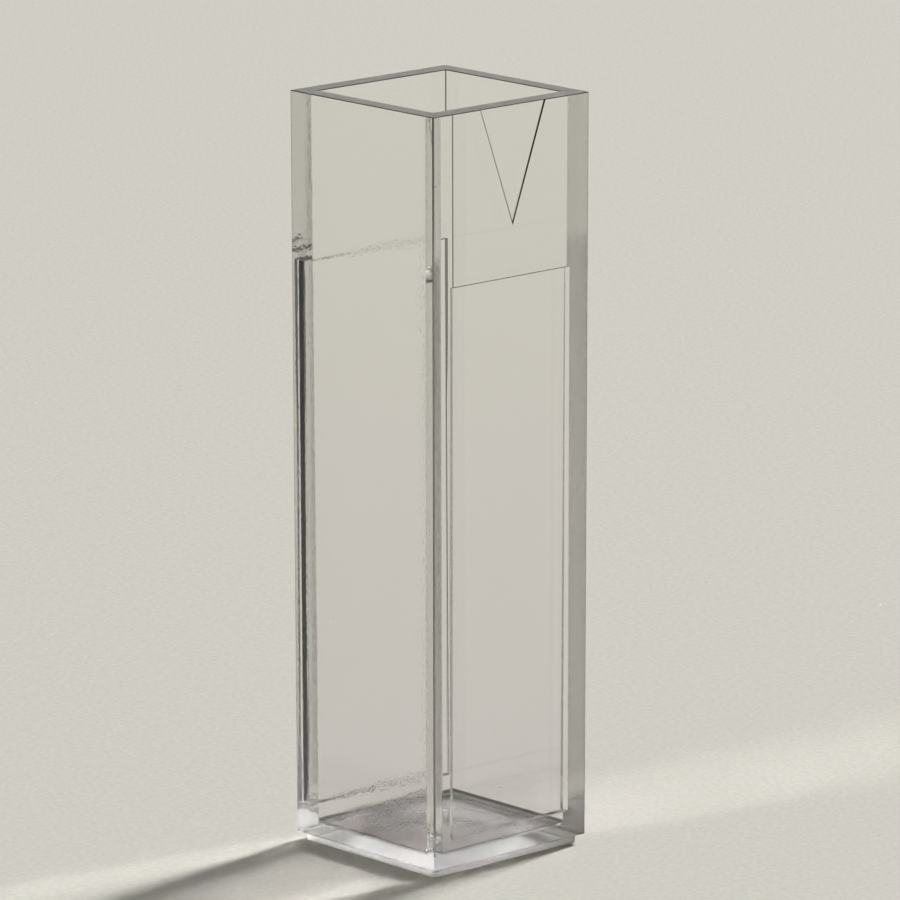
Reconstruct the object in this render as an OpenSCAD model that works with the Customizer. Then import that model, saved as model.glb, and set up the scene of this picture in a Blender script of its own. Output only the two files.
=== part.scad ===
// Square sample cell, moulded in one piece from clear plastic.
// Millimetres, +Z up.  The origin is the middle of the foot's underside.
// The front (-Y) window carries the V that shows which way round the cell goes.

/* [Body] */
// Outside width of the body at the rim
body_w = 12.35; // [11:0.05:15]
// Height from the foot's underside to the rim
body_h = 45.4; // [32:0.1:60]
// How far each side leans in from the rim down to the foot
outer_lean = 0.09; // [0.03:0.01:0.2]
// Radius of the four upright outside corners
corner_r = 0.08; // [0.04:0.01:0.4]
// Chamfer on the rim's inner and outer edges
rim_chamfer = 0.06; // [0.02:0.01:0.15]

/* [Cavity] */
// Thickness of the two plain walls at the rim
wall = 1.1; // [0.9:0.05:1.6]
// Thickness of the front and back walls at the rim, which leaves a 10 mm light path
window_wall = 1.2; // [0.9:0.05:1.6]
// How far each side of the cavity leans in from the rim down to the floor
cavity_lean = 0.18; // [0.05:0.01:0.4]
// Thickness of the floor, measured from the foot's underside
floor_t = 1.1; // [1:0.05:2]
// Radius of the four upright corners inside the cavity
cavity_r = 0.05; // [0.05:0.05:0.6]
// Radius where the cavity's walls meet its floor
floor_r = 0.35; // [0.1:0.05:0.6]

/* [Windows] */
// Plain border left at each side of the front window, measured at the foot
front_border = 1.43; // [0.8:0.01:2]
// Plain border left at each side of the back window, measured at the foot
back_border = 0.95; // [0.8:0.01:2]
// Distance from the rim down to the top of both windows
window_drop = 10.19; // [8.5:0.01:14]
// Distance from the foot's underside up to the bottom of both windows
window_sill = 2.2; // [1.6:0.05:4]
// Thickness of the front window's pane, whose two faces are parallel
front_pane_t = 0.84; // [0.6:0.01:1]
// Thickness of the back window's pane, whose two faces are parallel
back_pane_t = 0.77; // [0.6:0.01:1]
// Radius where the back window's upright sides run into its pane
window_r = 0.38; // [0.1:0.01:0.4]
// The same radius on the front window, which is nearly square there
front_r = 0.02; // [0.01:0.01:0.4]

/* [Direction mark] */
// Width of the V at the rim
mark_w = 5.1; // [3:0.05:7]
// Distance from the rim down to the point of the V
mark_h = 7; // [4:0.05:8]
// Depth of the V below the face around it
mark_depth = 0.06; // [0.04:0.01:0.25]
// How far the V stands to the right of the face's middle
mark_x = 0.1; // [-0.5:0.05:0.5]

/* [Foot] */
// Height of the foot below the walls
foot_h = 0.5; // [0.3:0.05:0.8]
// How far the foot stands in from the walls, all round
foot_inset = 0.33; // [0.2:0.01:0.8]
// Radius of the foot's four corners
foot_r = 0.35; // [0.1:0.05:0.8]
// Diameter of the shallow round hollow under the foot, at its mouth
hollow_d = 8.8; // [6:0.1:9.5]
// Depth of that hollow in its middle
hollow_depth = 0.3; // [0.15:0.05:0.45]

/* [Hidden] */
$fn = 32;
// Steps in the curve where the cavity's walls meet its floor
arc_steps = 6;
// Thickness of the slices that a leaning block is hulled from
slice = 0.001;
// How far a cutter runs past the face that it opens
past = 1;
base_w = outer_w(foot_h);
foot_w = base_w - 2 * foot_inset;
window_top = body_h - window_drop;
front_w = base_w - 2 * front_border;
back_w = base_w - 2 * back_border;
// Radius of the sphere that the hollow is a cap of
dome_r = (hollow_d * hollow_d / 4 + hollow_depth * hollow_depth) / (2 * hollow_depth);

// Outside width of the body at height z
function outer_w(z) = body_w - 2 * outer_lean * (body_h - z) / (body_h - foot_h);

// Width of the cavity at height z
function cavity_w(z) =
    body_w - 2 * wall - 2 * cavity_lean * (body_h - z) / (body_h - floor_t);

// Length of the cavity, from the front wall to the back wall, at height z
function cavity_l(z) = cavity_w(z) - 2 * (window_wall - wall);

// Rectangle with round corners, centred on the origin
module round_rectangle(w, l, r) {
    square([w - 2 * r, l], center = true);
    square([w, l - 2 * r], center = true);
    for (x = [-1, 1], y = [-1, 1])
        translate([x * (w / 2 - r), y * (l / 2 - r)])
            circle(r);
}

// Block with leaning sides: one round rectangle for each [height, width, length]
module leaning_block(levels, r)
    hull()
        for (level = levels)
            translate([0, 0, level[0]])
                linear_extrude(slice)
                    round_rectangle(level[1], level[2], r);

module walls_and_floor()
    leaning_block([[foot_h, base_w, base_w],
                   [body_h - rim_chamfer, outer_w(body_h - rim_chamfer),
                    outer_w(body_h - rim_chamfer)],
                   [body_h - slice, body_w - 2 * rim_chamfer, body_w - 2 * rim_chamfer]],
                  corner_r);

// The cavity's sides lean, and a quarter circle rounds them into the floor
module cavity() {
    floor_curve = [for (i = [0 : arc_steps])
        let (turn = 90 * i / arc_steps, z = floor_t + floor_r * (1 - cos(turn)),
             inset = 2 * floor_r * (1 - sin(turn)))
            [z, cavity_w(z) - inset, cavity_l(z) - inset]];
    leaning_block(concat(floor_curve, [[body_h + past, cavity_w(body_h + past),
                                        cavity_l(body_h + past)]]), cavity_r);
    leaning_block([[body_h - rim_chamfer, cavity_w(body_h), cavity_l(body_h)],
                   [body_h + past, cavity_w(body_h) + 2 * (rim_chamfer + past),
                    cavity_l(body_h) + 2 * (rim_chamfer + past)]], cavity_r);
}

module foot()
    linear_extrude((foot_h + floor_t) / 2)
        round_rectangle(foot_w, foot_w, foot_r);

module foot_hollow()
    translate([0, 0, hollow_depth - dome_r])
        sphere(dome_r, $fn = 360);

// Level cut through a window pocket on the +Y side, r being the radius beside its pane
module pocket_section(w, pane_y, r) {
    translate([-w / 2, pane_y + r])
        square([w, body_w / 2 + past - pane_y - r]);
    for (x = [-1, 1])
        translate([x * (w / 2 - r), pane_y + r])
            circle(r);
}

// The pane is parallel to the cavity's wall behind it
module window_pocket(w, pane_t, r)
    hull()
        for (z = [window_sill, window_top - slice])
            translate([0, 0, z])
                linear_extrude(slice)
                    pocket_section(w, cavity_l(z) / 2 + pane_t, r);

// The V is open at the rim
module mark_pocket()
    translate([mark_x, mark_depth - body_w / 2, body_h])
        rotate([90, 0, 0])
            linear_extrude(past)
                polygon([[0, -mark_h], [mark_w / 2, 0], [mark_w / 2, past], [-mark_w / 2, past],
                         [-mark_w / 2, 0]]);

module cuvette()
    color([0.86, 0.88, 0.87, 0.45])
        difference() {
            union() {
                walls_and_floor();
                foot();
            }
            cavity();
            foot_hollow();
            window_pocket(back_w, back_pane_t, window_r);
            rotate(180)
                window_pocket(front_w, front_pane_t, front_r);
            mark_pocket();
        }

cuvette();
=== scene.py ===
# %% [markdown]
# # A clear plastic sample cell
# A cuvette is a small square tube that holds a liquid while light is shone through it.
# The real one is a single piece, injection moulded from clear polystyrene.  Its finish
# is almost nothing but glass-like plastic, so what the eye reads as its surface is bent
# light: bright and dark bands in the corners, thin dark lines round the windows, a grey
# rim, soft streaks in the base.  Those only come out right when walls, lips and pockets
# have their true thickness, so this lesson models the shell first and does the finish last.

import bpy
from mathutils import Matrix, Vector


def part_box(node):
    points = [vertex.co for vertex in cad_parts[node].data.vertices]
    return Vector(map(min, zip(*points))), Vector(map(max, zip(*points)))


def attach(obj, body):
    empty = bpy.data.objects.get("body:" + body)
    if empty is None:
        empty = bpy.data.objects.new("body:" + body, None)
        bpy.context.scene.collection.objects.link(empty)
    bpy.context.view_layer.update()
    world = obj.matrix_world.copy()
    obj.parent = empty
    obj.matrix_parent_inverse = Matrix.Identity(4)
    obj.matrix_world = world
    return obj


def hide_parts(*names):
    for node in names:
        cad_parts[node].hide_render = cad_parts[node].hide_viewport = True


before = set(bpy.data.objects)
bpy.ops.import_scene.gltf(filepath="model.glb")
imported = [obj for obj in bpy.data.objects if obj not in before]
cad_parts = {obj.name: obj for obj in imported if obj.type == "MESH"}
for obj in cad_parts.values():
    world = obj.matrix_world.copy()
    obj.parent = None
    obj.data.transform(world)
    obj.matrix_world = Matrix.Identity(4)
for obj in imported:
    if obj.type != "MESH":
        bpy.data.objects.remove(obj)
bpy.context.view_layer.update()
node_low, node_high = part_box("cuvette")
print("packed part, millimetres:", [round(1000 * s, 2) for s in node_high - node_low])

# %% [markdown]
# ## Modules and units
# Everything is written in millimetres, because moulded parts are drawn in them.  The
# object itself is in metres, so one constant turns the one into the other at the end.

# %% Modules and units
import math

import bmesh
import bpy
from mathutils import Matrix, Vector

MM = 0.001


def mm_point(x, y, z):
    """A point given in millimetres, in metres."""
    return Vector((x, y, z)) * MM


# %% [markdown]
# ## The camera
# The cell is seen corner on, from a little above its rim, through a long lens, which
# keeps the upright edges nearly parallel.  The camera could be aimed by a constraint,
# but three plain turns say more: its heading round the cell, its pitch below the
# horizon, and a trace of roll.

# %% The camera
HEADING = math.radians(-42.62)
PITCH = math.radians(12.903)
ROLL = math.radians(-0.095)

camera_data = bpy.data.cameras.new("camera")
camera_data.lens = 305.4
camera_data.sensor_width = 36
camera = bpy.data.objects.new("camera", camera_data)
camera.matrix_world = (
    Matrix.Translation(mm_point(-296.8, -323.4, 124.45))
    @ Matrix.Rotation(HEADING, 4, "Z")
    @ Matrix.Rotation(math.pi / 2 - PITCH, 4, "X")
    @ Matrix.Rotation(ROLL, 4, "Z")
)
bpy.context.scene.collection.objects.link(camera)
bpy.context.scene.camera = camera
print("camera stands", round(camera.location.length / MM), "mm from the cell")

# %% [markdown]
# ## Sizes of the cell
# A moulded tube can't have quite parallel sides, or it would stick in its mould.  The
# outside leans in by a tenth of a millimetre from the rim to the foot and the cavity by
# twice that, so the walls grow a little thicker on their way down.  Two functions give
# the width at any height, and the rest of the shape asks them.

# %% Walls and cavity
body_w = (node_high.x - node_low.x) / MM
body_h = (node_high.z - node_low.z) / MM
outer_lean = 0.09
corner_r = 0.08
wall = 1.1
window_wall = 1.2
cavity_lean = 0.18
floor_t = 1.1
cavity_r = 0.05
floor_r = 0.35


# %% Foot
foot_h = 0.5
foot_inset = 0.33
foot_r = 0.35
hollow_d = 8.8
hollow_depth = 0.3


def outer_w(z):
    """Outside width of the body at height z."""
    return body_w - 2 * outer_lean * (body_h - z) / (body_h - foot_h)


def cavity_w(z):
    """Width of the cavity at height z."""
    return body_w - 2 * wall - 2 * cavity_lean * (body_h - z) / (body_h - floor_t)


def cavity_l(z):
    """Length of the cavity from front wall to back wall at height z."""
    return cavity_w(z) - 2 * (window_wall - wall)


base_w = outer_w(foot_h)
foot_w = base_w - 2 * foot_inset
print("width at the rim", round(body_w, 2), " at the foot", round(foot_w, 2))
print("light path at the rim", round(cavity_l(body_h), 2), "mm")

# %% [markdown]
# ## Level outlines
# The shell is a stack of level outlines joined by bands of faces, as a boat is planked
# over its frames.  Each outline starts from an operator: a circle of four points is a
# square, and bevelling its corner points rounds them.  Two outlines join cleanly when
# they have the same number of edges, which is why every corner has the same steps.

# %% Level outlines
CORNER_STEPS = 11


def square_loop(bm, width, z):
    """A level square at height z, as its four edges."""
    turned = Matrix.Translation((0, 0, z)) @ Matrix.Rotation(math.pi / 4, 4, "Z")
    made = bmesh.ops.create_circle(bm, segments=4, radius=width / math.sqrt(2), matrix=turned)
    return list({e for v in made["verts"] for e in v.link_edges})


def round_loop(bm, width, length, r, z):
    """A level rectangle with round corners."""
    corners = list({v for e in square_loop(bm, width, z) for v in e.verts})
    bmesh.ops.scale(bm, vec=(1, length / width, 1), verts=corners)
    bmesh.ops.bevel(bm, geom=corners, offset=r, segments=CORNER_STEPS, profile=0.5,
                    affect="VERTICES", material=-1)
    return [e for e in bm.edges if e.is_wire]


def ring_loop(bm, d, z):
    """A level circle with as many edges as a round rectangle has."""
    made = bmesh.ops.create_circle(bm, segments=4 * (CORNER_STEPS + 1), radius=d / 2,
                                   matrix=Matrix.Translation((0, 0, z)))
    return list({e for v in made["verts"] for e in v.link_edges})


def bridge(bm, lower, upper):
    """Joins two outlines with a band of faces."""
    return bmesh.ops.bridge_loops(bm, edges=lower + upper)["faces"]


def open_loop(bm, z):
    """The open edges at height z."""
    found = []
    for e in bm.edges:
        if e.is_boundary and all(abs(v.co.z - z) < 1e-4 for v in e.verts):
            found.append(e)
    return found


# %% [markdown]
# ## Outside
# From the ground up there are four squares: the foot's two, the body's lower edge, and
# the rim.  The upright edges are rounded after the sides are up, since one bevel then
# rounds a whole corner from bottom to top and lets it follow the lean.

# %% Outside
def upright_edges(bm, z_low, z_high):
    """The edges that climb from one height to another."""
    found = []
    for e in bm.edges:
        low, high = sorted(v.co.z for v in e.verts)
        if low > z_low - 1e-4 and high < z_high + 1e-4 and high - low > 0.9 * (z_high - z_low):
            found.append(e)
    return found


shell = bmesh.new()
squares = []
for width, z in ((foot_w, 0), (foot_w, foot_h), (base_w, foot_h), (body_w, body_h)):
    squares.append(square_loop(shell, width, z))
for lower, upper in zip(squares, squares[1:]):
    bridge(shell, lower, upper)
for r, z_low, z_high in ((foot_r, 0, foot_h), (corner_r, foot_h, body_h)):
    bmesh.ops.bevel(shell, geom=upright_edges(shell, z_low, z_high), offset=r,
                    segments=CORNER_STEPS, profile=0.5, affect="EDGES", material=-1)
print("outside faces:", len(shell.faces))

# %% [markdown]
# ## Cavity
# The cavity starts at the rim's outer edge, so the first band it adds is the rim
# itself.  Its last few outlines shrink along a quarter circle, which rounds the walls
# into the floor: that curve catches light all round the bottom of a real cell.

# %% Cavity
FLOOR_STEPS = 8

cavity_levels = [(0, body_h)]
for step in range(FLOOR_STEPS, -1, -1):
    turn = math.pi / 2 * step / FLOOR_STEPS
    inset = 2 * floor_r * (1 - math.sin(turn))
    cavity_levels.append((inset, floor_t + floor_r * (1 - math.cos(turn))))

upper = open_loop(shell, body_h)
for inset, z in cavity_levels:
    lower = round_loop(shell, cavity_w(z) - inset, cavity_l(z) - inset, cavity_r, z)
    bridge(shell, lower, upper)
    upper = lower
bmesh.ops.contextual_create(shell, geom=upper)
print("cavity depth", round(body_h - floor_t, 1), "mm")

# %% [markdown]
# ## Underside
# The mould's gate, where the plastic came in, is under the foot, and a shallow round
# hollow keeps its trace off the bench.  The hollow is a cap of a large sphere, so it
# acts as a weak lens and gathers the soft lights that show in the base.

# %% Underside
DOME_STEPS = 12
dome_r = (hollow_d ** 2 / 4 + hollow_depth ** 2) / (2 * hollow_depth)

lower = ring_loop(shell, hollow_d, 0)
bmesh.ops.triangle_fill(shell, edges=open_loop(shell, 0) + lower, use_beauty=True)
for step in range(1, DOME_STEPS):
    d = hollow_d * (1 - step / DOME_STEPS)
    upper = ring_loop(shell, d, hollow_depth - dome_r + math.sqrt(dome_r ** 2 - d ** 2 / 4))
    bridge(shell, lower, upper)
    lower = upper
bmesh.ops.contextual_create(shell, geom=lower)
bmesh.ops.recalc_face_normals(shell, faces=shell.faces)
print("shell volume", round(shell.calc_volume(), 1), "cubic mm, hollow's radius", round(dome_r, 1))

# %% [markdown]
# ## Windows
# The front and back walls are thinned to a pane, so that a fingerprint or a scratch
# from the next cell never lies in the beam.  Each pane's two faces are parallel, which
# an optical window needs.  Four straight scores mark the pane out of the flat side, an
# extrude gives it side walls, and its points are then pressed in until the pane has its
# thickness everywhere.  The back pocket is wider, and its upright sides run into the
# pane in a round curve, which turns the light that crosses it and draws fine upright
# lines beside the pane.

# %% Window sizes
front_border = 1.43
back_border = 0.95
window_drop = 10.19
window_sill = 2.2
front_pane_t = 0.84
back_pane_t = 0.77
window_r = 0.38
ROOT_STEPS = 8

window_top = body_h - window_drop
front_w = base_w - 2 * front_border
back_w = base_w - 2 * back_border
print("window widths, front and back:", round(front_w, 2), round(back_w, 2))


# %% Scoring a flat side
def flat_side(bm, side, z_low, z_high):
    """The flat outer faces of the front (side -1) or back (1) between two heights."""
    found = []
    for f in bm.faces:
        c = f.calc_center_median()
        if f.normal.y * side > 0.99 and c.y * side > base_w / 2 - 0.5 and z_low < c.z < z_high:
            found.append(f)
    return found


def score(bm, faces, point, normal):
    """Cuts a straight line across some faces."""
    geom = list({g for f in faces for g in (f, *f.edges, *f.verts)})
    bmesh.ops.bisect_plane(bm, geom=geom, dist=1e-6, plane_co=point, plane_no=normal)


# %% Sinking the panes
def sink_pane(bm, side, width, pane_t, root_r):
    """Presses a window into one side of the shell."""
    score(bm, flat_side(bm, side, 0, body_h), (0, 0, window_sill), (0, 0, 1))
    score(bm, flat_side(bm, side, window_sill, body_h), (0, 0, window_top), (0, 0, 1))
    for edge in (-1, 1):
        score(bm, flat_side(bm, side, window_sill, window_top), (edge * width / 2, 0, 0), (1, 0, 0))
    pane = []
    for f in flat_side(bm, side, window_sill, window_top):
        if abs(f.calc_center_median().x) < 1:
            pane.append(f)
    sunk = bmesh.ops.extrude_face_region(bm, geom=pane)["geom"]
    bmesh.ops.delete(bm, geom=pane, context="FACES")
    for v in sunk:
        if isinstance(v, bmesh.types.BMVert):
            v.co.y = side * (cavity_l(v.co.z) / 2 + pane_t)
    roots = []
    for e in sunk:
        if isinstance(e, bmesh.types.BMEdge) and abs(e.verts[0].co.z - e.verts[1].co.z) > 1:
            roots.append(e)
    if root_r:
        bmesh.ops.bevel(bm, geom=roots, offset=root_r, segments=ROOT_STEPS, profile=0.5,
                        affect="EDGES", material=-1)


sink_pane(shell, -1, front_w, front_pane_t, 0)
sink_pane(shell, 1, back_w, back_pane_t, window_r)
depth = outer_w(window_top) / 2 - cavity_l(window_top) / 2 - front_pane_t
print("front pocket is", round(depth, 2), "mm deep at its top edge")

# %% [markdown]
# ## Direction mark
# A shallow V on the front shows which way round the cell goes.  It is open at the rim,
# so the three scores that mark it out run off the top, and the wall that the extrude
# leaves across its mouth is dissolved.

# %% Direction mark
mark_w = 5.1
mark_h = 7
mark_depth = 0.06
mark_x = 0.1

point_z = body_h - mark_h
score(shell, flat_side(shell, -1, window_top, body_h), (0, 0, point_z), (0, 0, 1))
for arm in (-1, 1):
    across = (mark_h, 0, -arm * mark_w / 2)
    score(shell, flat_side(shell, -1, point_z, body_h), (mark_x, 0, point_z), across)
mark = []
for f in flat_side(shell, -1, point_z, body_h):
    if abs(f.calc_center_median().x - mark_x) < 0.1:
        mark.append(f)
for v in bmesh.ops.extrude_face_region(shell, geom=mark)["geom"]:
    if isinstance(v, bmesh.types.BMVert):
        v.co.y = mark_depth - body_w / 2
bmesh.ops.delete(shell, geom=mark, context="FACES")


def in_mouth(v):
    """Whether a point lies on the outer edge of the rim, across the V."""
    on_edge = abs(v.co.z - body_h) < 1e-4 and v.co.y < 0.01 - body_w / 2
    return on_edge and abs(v.co.x - mark_x) < mark_w / 2 + 0.01


mouth = [e for e in shell.edges if all(in_mouth(v) for v in e.verts)]
bmesh.ops.dissolve_edges(shell, edges=mouth, use_verts=False)
print("edges dissolved across the mouth of the V:", len(mouth))

# %% [markdown]
# ## Softened edges
# No moulded edge is perfectly sharp.  The tool that cut the window pockets was crisp,
# though, and a pocket's edge shows as a hair-thin dark line only while it stays so, so
# those get a much finer bevel than the rim and the foot.

# %% Softened edges
EDGE_R = 0.045
LIP_R = 0.005


def is_sharp(e):
    """Whether the faces on both sides of an edge meet at a clear angle."""
    return e.is_manifold and e.calc_face_angle() > math.radians(30)


def on_pocket(e):
    """Whether an edge belongs to one of the window pockets."""
    for v in e.verts:
        across = abs(v.co.x) < back_w / 2 + 0.01 and abs(v.co.y) > cavity_w(0) / 2 + 0.3
        if not across or not window_sill - 0.01 < v.co.z < window_top + 0.01:
            return False
    return True


def soften(bm, edges, r, steps):
    """Rounds some edges over."""
    bmesh.ops.bevel(bm, geom=edges, offset=r, offset_type="OFFSET", segments=steps,
                    profile=0.5, affect="EDGES", clamp_overlap=False, material=-1)


pocket_edges = [e for e in shell.edges if is_sharp(e) and on_pocket(e)]
soften(shell, pocket_edges, LIP_R, 2)
other_edges = [e for e in shell.edges if is_sharp(e) and not on_pocket(e)]
soften(shell, other_edges, EDGE_R, 3)
bmesh.ops.remove_doubles(shell, verts=shell.verts, dist=1e-5)
bmesh.ops.recalc_face_normals(shell, faces=shell.faces)
print("edges softened:", len(pocket_edges), "at the pockets and", len(other_edges), "elsewhere")
print("open edges left:", sum(not e.is_manifold for e in shell.edges))


# %% [markdown]
# ## Flat and curved faces
# Smooth shading bends light on every face that has it, the flat ones too, and in clear
# plastic that shows as false streaks.  So the flat faces are picked out by their normals
# and left flat, and only the curves between them are smoothed.

# %% Flat and curved faces
def is_flat(f):
    """Whether a face is one of the shell's plane faces."""
    n = f.normal
    z = f.calc_center_median().z
    if n.z > 0.9999:
        return True
    if n.z < -0.9999:
        return z < 1e-6 or z > foot_h - 1e-6
    return abs(n.z) < 0.02 and max(abs(n.x), abs(n.y)) > 0.9998 * math.hypot(n.x, n.y)


for f in shell.faces:
    f.smooth = not is_flat(f)
print("plane faces:", sum(not f.smooth for f in shell.faces), "of", len(shell.faces))
print("volume", round(shell.calc_volume(), 1), "cubic mm")

# %% The shell becomes an object
bmesh.ops.scale(shell, vec=(MM, MM, MM), verts=shell.verts)
mesh = bpy.data.meshes.new("moulded_body")
shell.to_mesh(mesh)
shell.free()
body = bpy.data.objects.new("moulded_body", mesh)
bpy.context.scene.collection.objects.link(body)


# %% [markdown]
# ## Shader helpers
# Nodes can be placed by hand, but a helper that adds one node and fills in its sockets
# keeps each material down to a few lines that read like a recipe.

# %% Shader helpers
def add_node(tree, kind, **values):
    """A shader node, with settings and sockets given by name."""
    made = tree.nodes.new("ShaderNode" + kind)
    for key, value in values.items():
        if hasattr(made, key):
            setattr(made, key, value)
        else:
            made.inputs[key.replace("_", " ")].default_value = value
    return made


def add_math(tree, operation, a, b):
    """Arithmetic on two values, either of which may be another node's output."""
    made = add_node(tree, "Math", operation=operation)
    for socket, value in zip(made.inputs, (a, b)):
        if isinstance(value, bpy.types.NodeSocket):
            tree.links.new(value, socket)
        else:
            socket.default_value = value
    return made.outputs[0]


def fill_ramp(ramp, stops):
    """Sets a colour ramp's stops, each a position and a colour."""
    while len(ramp.elements) < len(stops):
        ramp.elements.new(0.5)
    for element, (position, colour) in zip(ramp.elements, stops):
        element.position = position
        element.color = colour


# %% [markdown]
# ## The moulded surface
# One steel mould made every face, so one node group describes them all.  The windows
# and the inside came off polished steel.  The two side faces, which nobody measures
# through, came off sparked steel and have a fine grain.  The rim and the foot are matt.
# Each face could carry its own material, but light that goes into the plastic by one
# face and comes out by another has to meet the same plastic at both, so the finishes
# are worked out from where a point lies on the shell.

# %% The moulded surface
surface = bpy.data.node_groups.new("moulded_surface", "ShaderNodeTree")
for name, value in (("Satin", 0.08), ("Matt", 0.65), ("Grain Scale", 5000.0)):
    made = surface.interface.new_socket(name, in_out="INPUT", socket_type="NodeSocketFloat")
    made.default_value = value
surface.interface.new_socket("Tint", in_out="OUTPUT", socket_type="NodeSocketColor")
surface.interface.new_socket("Roughness", in_out="OUTPUT", socket_type="NodeSocketFloat")
surface.interface.new_socket("Height", in_out="OUTPUT", socket_type="NodeSocketFloat")
given = surface.nodes.new("NodeGroupInput")
result = surface.nodes.new("NodeGroupOutput")
place = add_node(surface, "TexCoord").outputs["Object"]
axes = add_node(surface, "SeparateXYZ")
surface.links.new(place, axes.inputs["Vector"])
up = axes.outputs["Z"]

# %% [markdown]
# ## Which finish where
# The side faces lean, so the outside is compared with a half width that grows with
# height, a few thousandths of a millimetre short of the face itself.

# %% Which finish where
HAIR = 0.003

lean = (outer_w(body_h) - outer_w(0)) / 2 / body_h
edge = add_math(surface, "MULTIPLY", up, lean)
edge = add_math(surface, "ADD", edge, (outer_w(0) / 2 - HAIR) * MM)
sideways = add_math(surface, "ABSOLUTE", axes.outputs["X"], 0)
on_side = add_math(surface, "GREATER_THAN", sideways, edge)

on_rim = add_math(surface, "GREATER_THAN", up, (body_h - HAIR) * MM)
on_foot = add_math(surface, "LESS_THAN", up, 0.95 * foot_h * MM)
on_matt = add_math(surface, "MAXIMUM", on_rim, on_foot)

# %% Grain
grain = add_node(surface, "TexNoise", Detail=1.0)
surface.links.new(place, grain.inputs["Vector"])
surface.links.new(given.outputs["Grain Scale"], grain.inputs["Scale"])
relief = add_math(surface, "SUBTRACT", grain.outputs["Fac"], 0.5)
grained = add_math(surface, "MAXIMUM", on_side, on_matt)
surface.links.new(add_math(surface, "MULTIPLY", relief, grained), result.inputs["Height"])

# %% [markdown]
# ## Dust
# Here and there a speck of dust was pressed into the surface, dull and a little dark.
# Scattered cells give the places, and only one in five of them gets a speck.

# %% Dust
SPECK_SPACING = 1.9
SPECK_SIZE = 0.03
EMPTY_SHARE = 0.8
DUST_ROUGHNESS = 0.35
DUST_COLOUR = (0.45, 0.42, 0.38, 1)

cells = add_node(surface, "TexVoronoi", Scale=1 / (SPECK_SPACING * MM))
surface.links.new(place, cells.inputs["Vector"])
chosen = add_node(surface, "SeparateColor")
surface.links.new(cells.outputs["Color"], chosen.inputs["Color"])
near = add_math(surface, "LESS_THAN", cells.outputs["Distance"], SPECK_SIZE)
few = add_math(surface, "GREATER_THAN", chosen.outputs["Red"], EMPTY_SHARE)
speck = add_math(surface, "MULTIPLY", near, few)

# %% Roughness
rough = add_math(surface, "MULTIPLY", on_side, given.outputs["Satin"])
rough = add_math(surface, "ADD", rough, add_math(surface, "MULTIPLY", on_matt, given.outputs["Matt"]))
rough = add_math(surface, "ADD", rough, add_math(surface, "MULTIPLY", speck, DUST_ROUGHNESS))
surface.links.new(rough, result.inputs["Roughness"])

# %% [markdown]
# ## Tint
# Clear polystyrene is never quite colourless.  This tint follows height alone: a breath warm near the
# rim, a breath darker and mauve towards the bottom.

# %% Tint
tint = add_node(surface, "ValToRGB")
surface.links.new(add_math(surface, "DIVIDE", up, body_h * MM), tint.inputs["Fac"])
fill_ramp(tint.color_ramp, (
    (0.05, (0.966, 0.952, 0.966, 1)),
    (0.95, (0.998, 0.996, 0.984, 1)),
))
dusty = add_node(surface, "Mix", data_type="RGBA")
clean, dirty = [socket for socket in dusty.inputs if socket.type == "RGBA"]
mixed = [socket for socket in dusty.outputs if socket.type == "RGBA"]
dirty.default_value = DUST_COLOUR
surface.links.new(speck, dusty.inputs["Factor"])
surface.links.new(tint.outputs["Color"], clean)
surface.links.new(mixed[0], result.inputs["Tint"])
print("moulded_surface nodes:", len(surface.nodes))

# %% [markdown]
# ## The plastic
# Its index is 1.59.  It also takes a little light away for every millimetre that light
# travels inside it.  Straight through a pane that is hardly seen, but in the corners
# light runs along a wall for ten times as far, and that darkens the edges of a clear
# part.  The value is a good deal more than pure polystyrene has: it is chosen for the
# look of the edges on a pale floor, and stops short of making the panes smoky.

# %% The plastic
INDEX = 1.59
SATIN_ROUGHNESS = 0.08
MATT_ROUGHNESS = 0.65
GRAIN = 0.18
GRAIN_DEPTH = 0.012
TAKEN_PER_MM = 0.022

plastic = bpy.data.materials.new("clear_plastic")
plastic.use_nodes = True
tree = plastic.node_tree
bsdf = tree.nodes["Principled BSDF"]
bsdf.inputs["IOR"].default_value = INDEX
bsdf.inputs["Transmission Weight"].default_value = 1
skin = tree.nodes.new("ShaderNodeGroup")
skin.node_tree = surface
skin.inputs["Satin"].default_value = SATIN_ROUGHNESS
skin.inputs["Matt"].default_value = MATT_ROUGHNESS
skin.inputs["Grain Scale"].default_value = 1 / (GRAIN * MM)
tree.links.new(skin.outputs["Tint"], bsdf.inputs["Base Color"])
tree.links.new(skin.outputs["Roughness"], bsdf.inputs["Roughness"])
bump = add_node(tree, "Bump", Distance=GRAIN_DEPTH * MM)
tree.links.new(skin.outputs["Height"], bump.inputs["Height"])
tree.links.new(bump.outputs["Normal"], bsdf.inputs["Normal"])
inside = add_node(tree, "VolumeAbsorption", Color=(0.5, 0.495, 0.45, 1))
inside.inputs["Density"].default_value = 2 * TAKEN_PER_MM / MM
tree.links.new(inside.outputs["Volume"], tree.nodes["Material Output"].inputs["Volume"])
mesh.materials.append(plastic)

# %% [markdown]
# ## The floor
# The cell stands on a plain sheet of pale, warm paper, the same in every direction.
# Clear plastic has no colour of its own and shows whatever lies around it, so the tone
# of the sheet is also most of the tone of the cell.  It lies a hair below the foot,
# since two faces in exactly the same place would flicker.

# %% The floor
floor_bm = bmesh.new()
bmesh.ops.create_grid(floor_bm, x_segments=1, y_segments=1, size=2,
                      matrix=Matrix.Translation(mm_point(0, 0, -0.03)))
floor_mesh = bpy.data.meshes.new("floor")
floor_bm.to_mesh(floor_mesh)
floor_bm.free()
floor = bpy.data.objects.new("floor", floor_mesh)
bpy.context.scene.collection.objects.link(floor)

# %% [markdown]
# ## Grain of the paper
# Paper has a fine tooth.  It is both a slight change of colour and a bump, because
# either one alone looks printed on.

# %% Grain of the paper
TOOTH = 0.35

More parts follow.
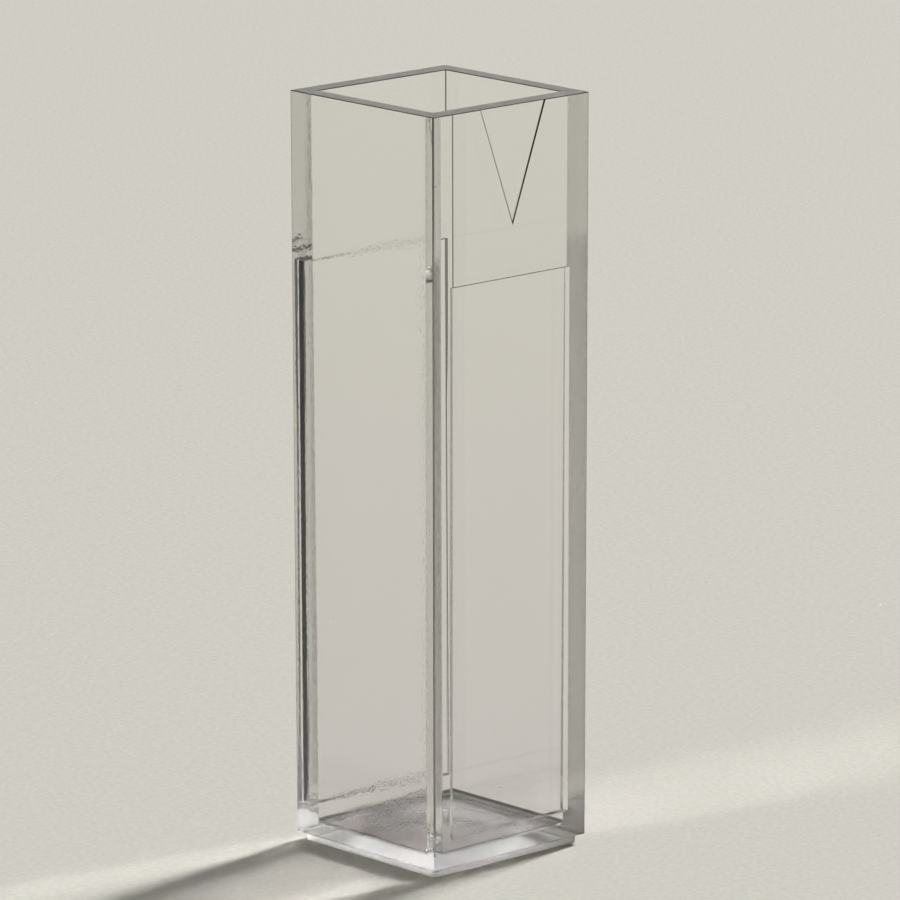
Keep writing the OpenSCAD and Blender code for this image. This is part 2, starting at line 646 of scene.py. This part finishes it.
paper = bpy.data.materials.new("floor_paper")
paper.use_nodes = True
tree = paper.node_tree
bsdf = tree.nodes["Principled BSDF"]
bsdf.inputs["Roughness"].default_value = 0.9
bsdf.inputs["Specular IOR Level"].default_value = 0.2
floor_mesh.materials.append(paper)

coords = add_node(tree, "TexCoord")
tooth = add_node(tree, "TexNoise", Scale=1 / (TOOTH * MM), Detail=2.0)
tree.links.new(coords.outputs["Object"], tooth.inputs["Vector"])
pale = add_node(tree, "ValToRGB")
tree.links.new(tooth.outputs["Fac"], pale.inputs["Fac"])
fill_ramp(pale.color_ramp, (
    (0.3, (0.565, 0.55, 0.497, 1)),
    (0.7, (0.64, 0.622, 0.562, 1)),
))
tree.links.new(pale.outputs["Color"], bsdf.inputs["Base Color"])
tooth_bump = add_node(tree, "Bump", Distance=0.01 * MM)
tree.links.new(tooth.outputs["Fac"], tooth_bump.inputs["Height"])
tree.links.new(tooth_bump.outputs["Normal"], bsdf.inputs["Normal"])

# %% [markdown]
# ## Light
# One broad lamp stands behind the cell to the right, and the room beyond is dim.  The
# lamp is a sun with a wide angle, so shadows have soft edges.  It gives nine tenths of
# the light on the floor and the room gives the rest, so a flat colour there comes out
# as written.  The dim room matters as much as the lamp: the thin dark lines round the
# windows are its reflection.

# %% Light
LIGHT_TURN = math.radians(7)
LIGHT_HEIGHT = math.radians(33)
LIGHT_WIDTH = math.radians(8)
LAMP_SHARE = 0.9

to_light = Vector((
    math.cos(LIGHT_TURN) * math.cos(LIGHT_HEIGHT),
    math.sin(LIGHT_TURN) * math.cos(LIGHT_HEIGHT),
    math.sin(LIGHT_HEIGHT),
))
key_data = bpy.data.lights.new("key", "SUN")
key_data.angle = LIGHT_WIDTH
key_data.energy = LAMP_SHARE * math.pi / math.sin(LIGHT_HEIGHT)
key = bpy.data.objects.new("key", key_data)
key.matrix_world = to_light.to_track_quat("Z", "Y").to_matrix().to_4x4()
bpy.context.scene.collection.objects.link(key)

room = bpy.data.worlds.new("room")
room.use_nodes = True
room.node_tree.nodes["Background"].inputs["Color"].default_value = (0.60, 0.585, 0.55, 1)
room.node_tree.nodes["Background"].inputs["Strength"].default_value = 0.18
bpy.context.scene.world = room
print("lamp strength", round(key_data.energy, 2))

# %% [markdown]
# ## How light is followed
# A ray can bounce twenty times along a wall before it leaves, and each bounce is sharp.
# So the limits on bounces are raised, and the two shortcuts that soften or cap indirect
# light are switched off, because here all the light is indirect.

# %% How light is followed
scene = bpy.context.scene
scene.view_settings.view_transform = "Standard"
scene.cycles.use_guiding = True
scene.cycles.sample_clamp_indirect = 0
scene.cycles.blur_glossy = 0
scene.cycles.max_bounces = 32
scene.cycles.glossy_bounces = 32
scene.cycles.transmission_bounces = 32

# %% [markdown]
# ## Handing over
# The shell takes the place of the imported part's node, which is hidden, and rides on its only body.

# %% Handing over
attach(body, "root")
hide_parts("cuvette")
